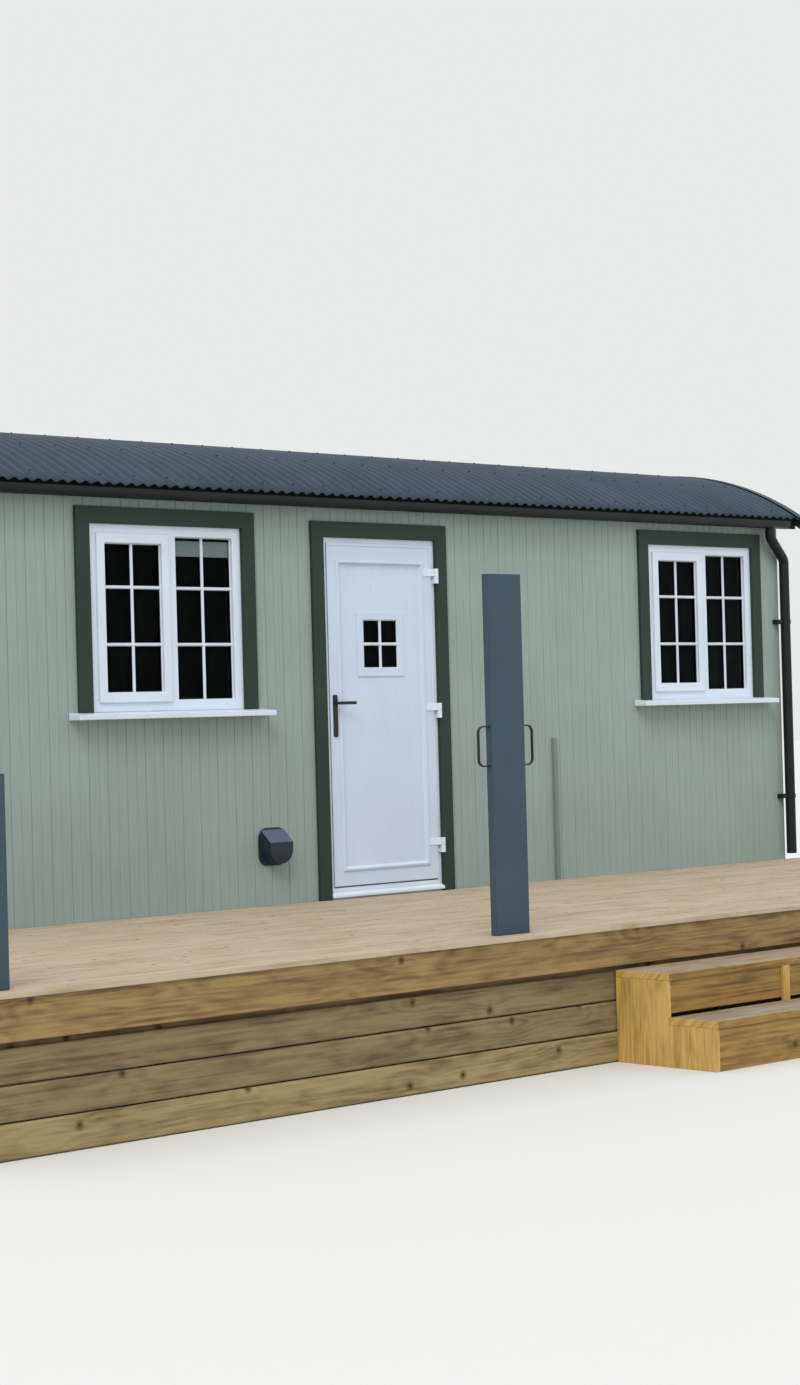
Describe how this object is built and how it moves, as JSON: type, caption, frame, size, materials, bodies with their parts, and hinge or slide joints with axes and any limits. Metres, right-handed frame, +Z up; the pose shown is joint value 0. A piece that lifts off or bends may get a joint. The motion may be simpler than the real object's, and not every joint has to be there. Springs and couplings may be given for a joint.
{
  "type": "shepherds hut with a raised deck",
  "caption": "Shepherds hut with a barrel roof, board walls, a hinged front door, casement windows, wheels under it and a raised timber deck with steps in front.",
  "frame": {"origin": "on the ground, at the bottom centre of the bounding box of the hut, its deck and its steps", "axes": "+X along the front to the right, +Y from the front to the back, +Z up"},
  "size_m": [9.5, 5.813, 3.4236],
  "materials": {
    "anthracite_paint": "satin",
    "black_metal": "satin",
    "black_plastic": "satin",
    "ceiling_lining": "matt",
    "chassis_steel": "satin",
    "dark_trim": "satin",
    "deck_timber": "weathered",
    "fascia_timber": "rough sawn",
    "floor_timber": "satin",
    "frame_timber": "rough sawn",
    "fresh_timber": "planed",
    "green_trim": "satin",
    "grey_green_plastic": "satin",
    "gutter_dark": "satin",
    "roof_steel": "satin",
    "rough_timber": "rough sawn",
    "wall_boards": "satin",
    "wheel_iron": "satin",
    "white_plastic": "gloss",
    "window_glass": "clear"
  },
  "bodies": {
    "hut": {"axle_stands": "chassis_steel", "axles": "chassis_steel", "back_gutter": "gutter_dark", "back_wall": "wall_boards", "chassis_crossmembers": "chassis_steel", "chassis_rails": "chassis_steel", "deck_bearers": "frame_timber", "deck_boards": "deck_timber", "deck_fascia": "fascia_timber", "deck_joists": "frame_timber", "deck_legs": "frame_timber", "deck_skirt": "rough_timber", "door_cill": "white_plastic", "door_frame": "white_plastic", "door_surround": "green_trim", "downpipe": "gutter_dark", "downpipe_clips": "gutter_dark", "eave_fascias": "dark_trim", "end_post": "anthracite_paint", "floor_panel": "floor_timber", "front_gutter": "gutter_dark", "front_wall_left": "wall_boards", "front_wall_over_door": "wall_boards", "front_wall_right": "wall_boards", "gutter_outlet": "gutter_dark", "hinge_jamb_halves": "white_plastic", "left_end_wall": "wall_boards", "left_window_frame": "white_plastic", "left_window_panes": "window_glass", "left_window_sash": "white_plastic", "left_window_sill": "white_plastic", "left_window_surround": "green_trim", "post_loops": "black_metal", "right_end_wall": "wall_boards", "right_window_frame": "white_plastic", "right_window_panes": "window_glass", "right_window_sash": "white_plastic", "right_window_sill": "white_plastic", "right_window_surround": "green_trim", "roof_panel": "ceiling_lining", "roof_sheets": "roof_steel", "step_batten": "fresh_timber", "step_risers": "fascia_timber", "step_sides": "fresh_timber", "step_treads": "deck_timber", "tall_post": "anthracite_paint", "vent_cowl": "black_plastic", "verge_boards": "dark_trim", "verge_trims": "roof_steel", "wall_trunking": "grey_green_plastic", "wheels": "wheel_iron"},
    "front_door": {"door_leaf": "white_plastic", "door_light_frame": "white_plastic", "door_light_pane": "window_glass", "hinge_leaf_halves": "white_plastic", "handle_plates": "black_metal"},
    "door_lever": {"door_lever": "black_metal"}
  },
  "joints": [
    {"name": "front_door", "type": "hinge", "parent": "hut", "child": "front_door", "pos_m": [0.436, 0.3405, 0], "axis": [0, 0, 1], "range_deg": [0, 110]},
    {"name": "door_lever", "type": "hinge", "parent": "front_door", "child": "door_lever", "pos_m": [-0.381, 0.3765, 1.822], "axis": [0, 1, 0], "range_deg": [0, 45], "stiffness_Nm_per_rad": 1}
  ]
}
